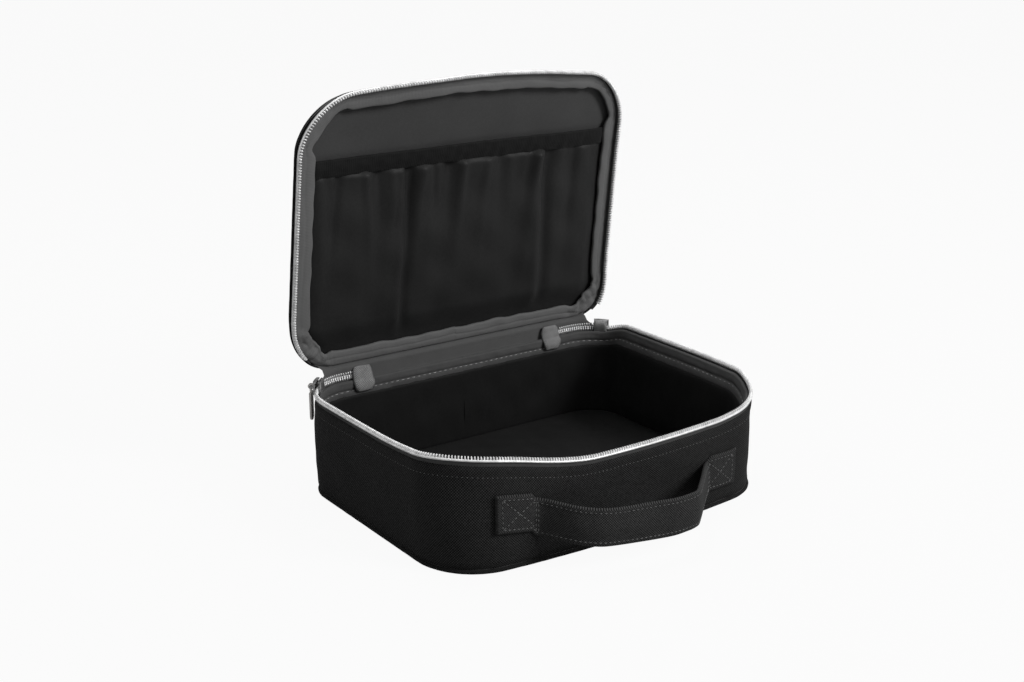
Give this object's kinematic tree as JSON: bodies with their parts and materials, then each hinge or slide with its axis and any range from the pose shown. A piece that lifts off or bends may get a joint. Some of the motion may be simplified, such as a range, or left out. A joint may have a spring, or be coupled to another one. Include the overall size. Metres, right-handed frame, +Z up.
{
  "type": "toiletry bag",
  "caption": "Soft rectangular toiletry bag with a hinged zipped lid standing open, a gathered lid pocket, two zip sliders and a webbing handle on the front.",
  "frame": {"origin": "centre of the underside of the bottom panel", "axes": "+Z up, -Y towards the front with the handle, +X to the right seen from the front; the lid hinge is at the +Y edge"},
  "size_m": [0.262, 0.243, 0.2746],
  "materials": {
    "shell_fabric": "black woven polyester",
    "piping": "black piping",
    "padding": "closed-cell foam padding",
    "lining_fabric": "black nylon lining",
    "binding_tape": "grey binding tape",
    "zip_tape": "black zip tape",
    "zip_teeth": "silver teeth",
    "slider_metal": "grey lacquered die-cast metal",
    "pull_rubber": "light grey rubber",
    "webbing": "black webbing covered in woven polyester",
    "pocket_elastic": "black woven elastic"
  },
  "bodies": {
    "base": {"base_side_panel": "shell_fabric", "base_bottom_panel": "shell_fabric", "base_piping": "piping", "base_bottom_board": "padding", "base_wall_padding": "padding", "base_bottom_lining": "lining_fabric", "base_side_lining": "lining_fabric", "base_rim_binding": "binding_tape", "base_zip_tape": "zip_tape", "base_zip_teeth": "zip_teeth", "closed_end_teeth": "zip_teeth", "closed_end_tape": "zip_tape", "zip_end_stops": "zip_teeth", "zip_end_tab_left": "binding_tape", "zip_end_tab_right": "binding_tape", "hinge_strip_base": "zip_tape", "handle_end_left": "webbing", "handle_end_right": "webbing"},
    "lid": {"lid_side_band": "shell_fabric", "lid_top_panel": "shell_fabric", "lid_piping": "piping", "lid_padding": "padding", "lid_lining": "lining_fabric", "lid_rim_binding": "binding_tape", "lid_zip_tape": "zip_tape", "lid_zip_teeth": "zip_teeth", "lid_pocket_panel": "lining_fabric", "lid_pocket_elastic": "pocket_elastic", "hinge_strip_lid": "zip_tape"},
    "handle": {"handle_strap": "webbing"},
    "left_slider": {"slider_left": "slider_metal"},
    "right_slider": {"slider_right": "slider_metal"},
    "left_pull": {"slider_pull_left": "pull_rubber"},
    "right_pull": {"slider_pull_right": "pull_rubber"}
  },
  "joints": [
    {"name": "lid_hinge", "type": "hinge", "parent": "base", "child": "lid", "pos_m": [0, 0.0983, 0.0772], "axis": [-1, 0, 0], "range_deg": [-85, 90]},
    {"name": "handle_flex", "type": "hinge", "parent": "base", "child": "handle", "pos_m": [0, -0.1057, 0.034], "axis": [1, 0, 0], "range_deg": [-20, 20], "stiffness_Nm_per_rad": 0.1},
    {"name": "left_slider_travel", "type": "hinge", "parent": "base", "child": "left_slider", "pos_m": [-0.098, 0.066, 0.07235], "axis": [0, 0, 1], "range_deg": [-20, 0]},
    {"name": "right_slider_travel", "type": "hinge", "parent": "base", "child": "right_slider", "pos_m": [0.098, 0.066, 0.07235], "axis": [0, 0, 1], "range_deg": [0, 20]},
    {"name": "left_pull_swing", "type": "hinge", "parent": "left_slider", "child": "left_pull", "pos_m": [-0.12446, 0.08982, 0.07235], "axis": [0.6691, 0.7431, 0], "range_deg": [-5, 150]},
    {"name": "right_pull_swing", "type": "hinge", "parent": "right_slider", "child": "right_pull", "pos_m": [0.12446, 0.08982, 0.07235], "axis": [0.6691, -0.7431, 0], "range_deg": [-5, 150]}
  ]
}
